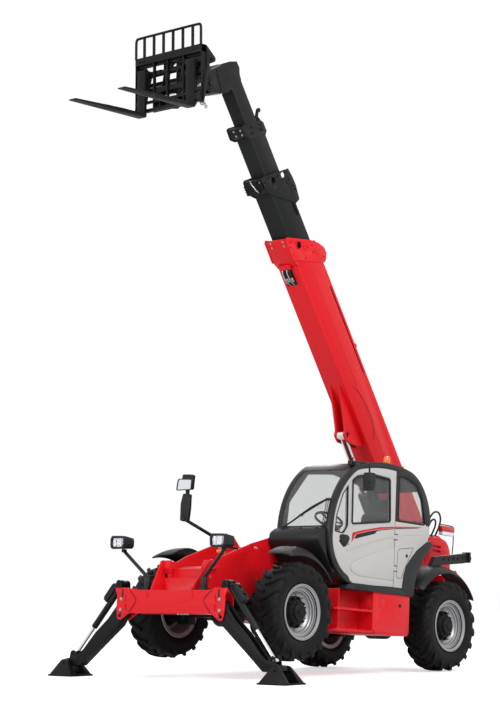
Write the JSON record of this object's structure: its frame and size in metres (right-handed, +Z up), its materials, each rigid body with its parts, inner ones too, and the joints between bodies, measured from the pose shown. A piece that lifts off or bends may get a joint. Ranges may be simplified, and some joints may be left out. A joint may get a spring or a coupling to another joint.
{
  "type": "telehandler",
  "caption": "Telescopic handler on front stabilisers: raised four-section boom with a pallet fork carriage, side cab, side engine pod and four steered wheels.",
  "frame": {"origin": "middle of the machine's box on the floor it stands on", "axes": "+X forward, +Y to the driver's left, +Z up"},
  "size_m": [6.6332, 3.87, 7.9162],
  "materials": {
    "red_paint": "gloss",
    "boom_black": "satin",
    "black_steel": "satin",
    "cast_hub": "matte",
    "rim_silver": "satin",
    "tyre_rubber": "matte",
    "cab_black": "satin",
    "cab_grey": "satin",
    "tinted_glass": "gloss",
    "black_plastic": "matte",
    "seat_cloth": "matte",
    "chrome_rod": "polished",
    "amber_lens": "gloss",
    "engine_iron": "matte"
  },
  "bodies": {
    "chassis": {"chassis_rails": "red_paint", "chassis_frame": "red_paint", "tower_tanks": "red_paint", "counterweight": "red_paint", "tow_hitch": "black_steel", "stabiliser_frame": "red_paint", "boom_cradle": "red_paint", "axles": "black_steel", "fenders": "black_plastic", "cab_frame": "cab_black", "cab_panel": "cab_grey", "cab_glass": "tinted_glass", "cab_seat": "seat_cloth", "cab_controls": "black_plastic", "roof_beacon": "amber_lens", "cowl": "black_plastic", "step_box": "red_paint", "engine_block": "engine_iron", "engine_tray": "black_steel", "work_lamps": "black_plastic", "mirrors": "black_plastic", "rear_lamps": "black_plastic"},
    "door": {"cab_door": "cab_grey", "door_glass": "tinted_glass"},
    "hood": {"engine_hood": "red_paint"},
    "boom": {"boom_base": "red_paint", "boom_base_flanges": "red_paint"},
    "boom_1": {"boom_ext1": "boom_black", "boom_ext1_flanges": "boom_black"},
    "boom_2": {"boom_ext2": "boom_black", "boom_ext2_flanges": "boom_black"},
    "boom_3": {"boom_ext3": "boom_black", "boom_ext3_flanges": "boom_black", "boom_head": "boom_black"},
    "carriage": {"tool_carrier": "black_steel", "fork_carriage": "black_steel", "forks": "black_steel"},
    "lift_cylinder": {"lift_barrel": "black_steel"},
    "lift_piston": {"lift_rod": "chrome_rod"},
    "leg_left": {"leg_left": "black_steel"},
    "leg_cylinder_left": {"leg_barrel_left": "boom_black"},
    "leg_piston_left": {"leg_rod_left": "chrome_rod"},
    "foot_left": {"pad_left": "black_steel"},
    "leg_right": {"leg_right": "black_steel"},
    "leg_cylinder_right": {"leg_barrel_right": "boom_black"},
    "leg_piston_right": {"leg_rod_right": "chrome_rod"},
    "foot_right": {"pad_right": "black_steel"},
    "hub_front_left": {"knuckle_front_left": "cast_hub"},
    "wheel_front_left": {"rim_front_left": "rim_silver", "tyre_front_left": "tyre_rubber"},
    "hub_front_right": {"knuckle_front_right": "cast_hub"},
    "wheel_front_right": {"rim_front_right": "rim_silver", "tyre_front_right": "tyre_rubber"},
    "hub_rear_left": {"knuckle_rear_left": "cast_hub"},
    "wheel_rear_left": {"rim_rear_left": "rim_silver", "tyre_rear_left": "tyre_rubber"},
    "hub_rear_right": {"knuckle_rear_right": "cast_hub"},
    "wheel_rear_right": {"rim_rear_right": "rim_silver", "tyre_rear_right": "tyre_rubber"}
  },
  "joints": [
    {"name": "boom_lift", "type": "hinge", "parent": "chassis", "child": "boom", "pos_m": [-2.85595, 0, 1.68012], "axis": [0, -1, 0], "range_deg": [-57, 17]},
    {"name": "telescope_1", "type": "slide", "parent": "boom", "child": "boom_1", "axis": [0.5465, 0, 0.8374], "range_m": [-0.43, 3.45]},
    {"name": "telescope_2", "type": "slide", "parent": "boom_1", "child": "boom_2", "axis": [0.5465, 0, 0.8374], "range_m": [-0.43, 3.45]},
    {"name": "telescope_3", "type": "slide", "parent": "boom_2", "child": "boom_3", "axis": [0.5465, 0, 0.8374], "range_m": [-0.43, 3.45]},
    {"name": "carriage_tilt", "type": "hinge", "parent": "boom_3", "child": "carriage", "pos_m": [1.45459, 0, 7.34519], "axis": [0, 1, 0], "range_deg": [-66, 60]},
    {"name": "lift_cylinder_swing", "type": "hinge", "parent": "chassis", "child": "lift_cylinder", "pos_m": [-2.59307, 0, 1.06847], "axis": [0, -1, 0], "range_deg": [-53, 16]},
    {"name": "lift_stroke", "type": "slide", "parent": "lift_cylinder", "child": "lift_piston", "axis": [0.5179, 0, 0.8554], "range_m": [-0.6, 0.18]},
    {"name": "door_hinge", "type": "hinge", "parent": "chassis", "child": "door", "pos_m": [-0.93016, 1.166, 1.48165], "axis": [-0.0675, 0, 0.9977], "range_deg": [0, 100]},
    {"name": "hood_hinge", "type": "hinge", "parent": "chassis", "child": "hood", "pos_m": [-0.67397, -0.316, 1.59119], "axis": [-0.9977, 0, -0.0675], "range_deg": [0, 60]},
    {"name": "leg_swing_left", "type": "hinge", "parent": "chassis", "child": "leg_left", "pos_m": [1.94039, 0.785, 0.874], "axis": [-0.9977, 0, -0.0675], "range_deg": [-92, 6]},
    {"name": "foot_pivot_left", "type": "hinge", "parent": "leg_left", "child": "foot_left", "pos_m": [1.98798, 1.71, 0.17061], "axis": [-0.9977, 0, -0.0675], "range_deg": [-15, 15]},
    {"name": "leg_cylinder_swing_left", "type": "hinge", "parent": "chassis", "child": "leg_cylinder_left", "pos_m": [1.92251, 0.865, 1.1384], "axis": [-0.9977, 0, -0.0675], "range_deg": [-95.76, 7.18]},
    {"name": "leg_stroke_left", "type": "slide", "parent": "leg_cylinder_left", "child": "leg_piston_left", "axis": [0.0512, 0.6508, -0.7575], "range_m": [-0.6, 0.1]},
    {"name": "leg_swing_right", "type": "hinge", "parent": "chassis", "child": "leg_right", "pos_m": [1.94039, -0.785, 0.874], "axis": [0.9977, 0, 0.0675], "range_deg": [-92, 6]},
    {"name": "foot_pivot_right", "type": "hinge", "parent": "leg_right", "child": "foot_right", "pos_m": [1.98798, -1.71, 0.17061], "axis": [0.9977, 0, 0.0675], "range_deg": [-15, 15]},
    {"name": "leg_cylinder_swing_right", "type": "hinge", "parent": "chassis", "child": "leg_cylinder_right", "pos_m": [1.92251, -0.865, 1.1384], "axis": [0.9977, 0, 0.0675], "range_deg": [-95.76, 7.18]},
    {"name": "leg_stroke_right", "type": "slide", "parent": "leg_cylinder_right", "child": "leg_piston_right", "axis": [0.0512, -0.6508, -0.7575], "range_m": [-0.6, 0.1]},
    {"name": "steer_front_left", "type": "hinge", "parent": "chassis", "child": "hub_front_left", "pos_m": [0.95319, 0.74, 0.7992], "axis": [-0.0675, 0, 0.9977], "range_deg": [-32, 32]},
    {"name": "roll_front_left", "type": "hinge", "parent": "hub_front_left", "child": "wheel_front_left", "pos_m": [0.95319, 1, 0.7992], "axis": [0, 1, 0], "continuous": true},
    {"name": "steer_front_right", "type": "hinge", "parent": "chassis", "child": "hub_front_right", "pos_m": [0.95319, -0.74, 0.7992], "axis": [-0.0675, 0, 0.9977], "range_deg": [-32, 32]},
    {"name": "roll_front_right", "type": "hinge", "parent": "hub_front_right", "child": "wheel_front_right", "pos_m": [0.95319, -1, 0.7992], "axis": [0, 1, 0], "continuous": true},
    {"name": "steer_rear_left", "type": "hinge", "parent": "chassis", "child": "hub_rear_left", "pos_m": [-2.10981, 0.74, 0.592], "axis": [-0.0675, 0, 0.9977], "range_deg": [-32, 32]},
    {"name": "roll_rear_left", "type": "hinge", "parent": "hub_rear_left", "child": "wheel_rear_left", "pos_m": [-2.10981, 1, 0.592], "axis": [0, 1, 0], "continuous": true},
    {"name": "steer_rear_right", "type": "hinge", "parent": "chassis", "child": "hub_rear_right", "pos_m": [-2.10981, -0.74, 0.592], "axis": [-0.0675, 0, 0.9977], "range_deg": [-32, 32]},
    {"name": "roll_rear_right", "type": "hinge", "parent": "hub_rear_right", "child": "wheel_rear_right", "pos_m": [-2.10981, -1, 0.592], "axis": [0, 1, 0], "continuous": true}
  ],
  "couplings": [
    {"joint": "telescope_2", "follows": "telescope_1", "ratio": 1},
    {"joint": "telescope_3", "follows": "telescope_1", "ratio": 1},
    {"joint": "lift_cylinder_swing", "follows": "boom_lift", "ratio": 0.92},
    {"joint": "lift_stroke", "follows": "boom_lift", "m_per_rad": 0.6},
    {"joint": "steer_front_right", "follows": "steer_front_left", "ratio": 1},
    {"joint": "steer_rear_right", "follows": "steer_rear_left", "ratio": 1},
    {"joint": "leg_cylinder_swing_left", "follows": "leg_swing_left", "ratio": 1.03},
    {"joint": "leg_stroke_left", "follows": "leg_swing_left", "m_per_rad": 0.255},
    {"joint": "leg_cylinder_swing_right", "follows": "leg_swing_right", "ratio": 1.03},
    {"joint": "leg_stroke_right", "follows": "leg_swing_right", "m_per_rad": 0.255}
  ]
}
